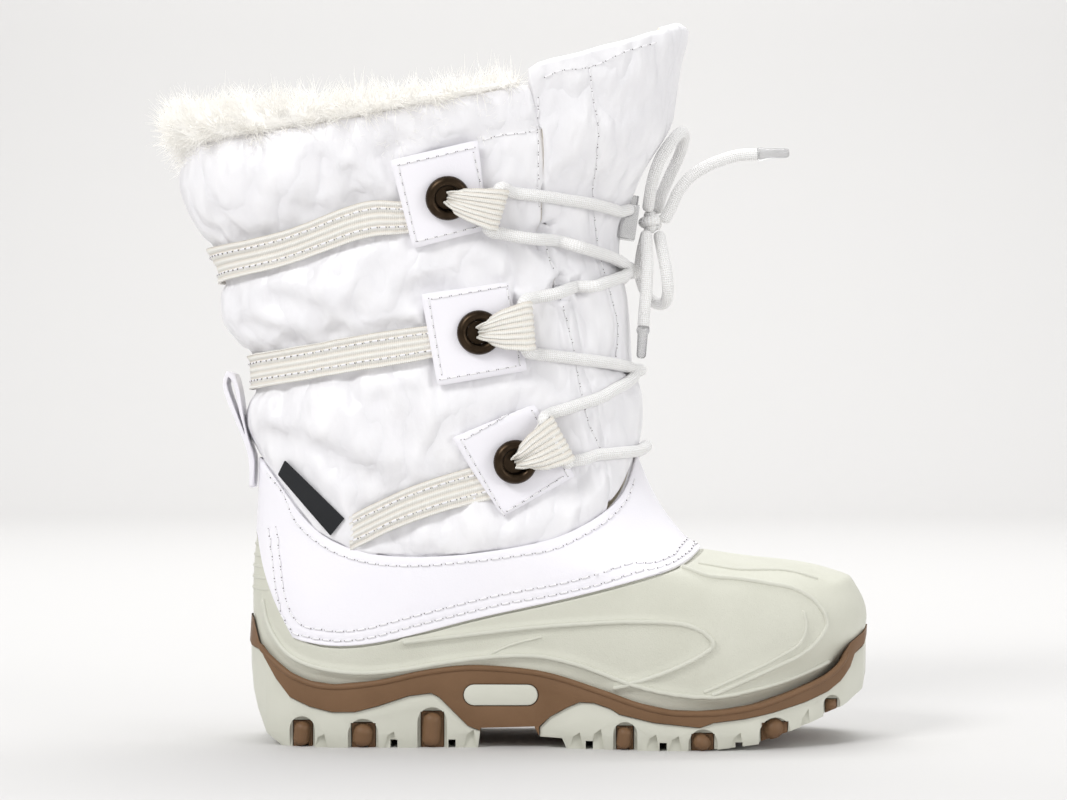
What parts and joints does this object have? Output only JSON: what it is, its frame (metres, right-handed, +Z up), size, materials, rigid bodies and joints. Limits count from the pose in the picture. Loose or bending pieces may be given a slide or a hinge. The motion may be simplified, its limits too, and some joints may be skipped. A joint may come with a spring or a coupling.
{
  "type": "snow boot",
  "caption": "Child's right snow boot: quilted nylon shaft with elastic bands and a speed lace, rubber galosh and cleated sole, deep fur collar and knotted lace.",
  "frame": {"origin": "on the floor under the middle of the heel's flat tread", "axes": "+X to the toe, +Z up the shaft, +Y to the medial side of a right foot"},
  "size_m": [0.2604, 0.108, 0.2608],
  "materials": {
    "quilted_nylon": "glossy padded nylon, off-white",
    "synthetic_leather": "smooth coated leather, white with a lavender cast",
    "grey_rubber": "moulded rubber, pale grey-green, satin",
    "brown_rubber": "moulded rubber, mid brown, matt",
    "pile": "deep cream pile",
    "ribbed_elastic": "ribbed elastic webbing, cream",
    "dark_metal": "aged bronze, polished rim",
    "lace_braid": "round braided polyester, white",
    "clear_plastic": "smoke-clear moulded plastic",
    "woven_label": "plain black woven label",
    "felt": "grey felt"
  },
  "bodies": {
    "root": {"outsole": "brown_rubber", "heel_rand": "grey_rubber", "forefoot_rand": "grey_rubber", "shell": "grey_rubber", "arch_insert_lateral": "grey_rubber", "arch_insert_medial": "grey_rubber", "upper": "quilted_nylon", "tongue": "quilted_nylon", "leather_band": "synthetic_leather", "insole": "felt", "elastic_band_upper": "ribbed_elastic", "elastic_band_middle": "ribbed_elastic", "elastic_band_ankle_lateral": "ribbed_elastic", "elastic_band_ankle_medial": "ribbed_elastic", "tab_upper_lateral": "synthetic_leather", "eyelet_upper_lateral": "dark_metal", "elastic_loop_upper_lateral": "ribbed_elastic", "tab_upper_medial": "synthetic_leather", "eyelet_upper_medial": "dark_metal", "elastic_loop_upper_medial": "ribbed_elastic", "tab_middle_lateral": "synthetic_leather", "eyelet_middle_lateral": "dark_metal", "elastic_loop_middle_lateral": "ribbed_elastic", "tab_middle_medial": "synthetic_leather", "eyelet_middle_medial": "dark_metal", "elastic_loop_middle_medial": "ribbed_elastic", "tab_lower_lateral": "synthetic_leather", "eyelet_lower_lateral": "dark_metal", "elastic_loop_lower_lateral": "ribbed_elastic", "tab_lower_medial": "synthetic_leather", "eyelet_lower_medial": "dark_metal", "elastic_loop_lower_medial": "ribbed_elastic", "lace": "lace_braid", "lace_knot": "lace_braid", "bow_loop_upper": "lace_braid", "bow_loop_lower": "lace_braid", "lace_end_front": "lace_braid", "lace_end_down": "lace_braid", "cord_lock": "clear_plastic", "aglet_front": "clear_plastic", "aglet_down": "clear_plastic", "pull_loop": "synthetic_leather", "side_label": "woven_label", "collar_fur": "pile"}
  },
  "joints": []
}
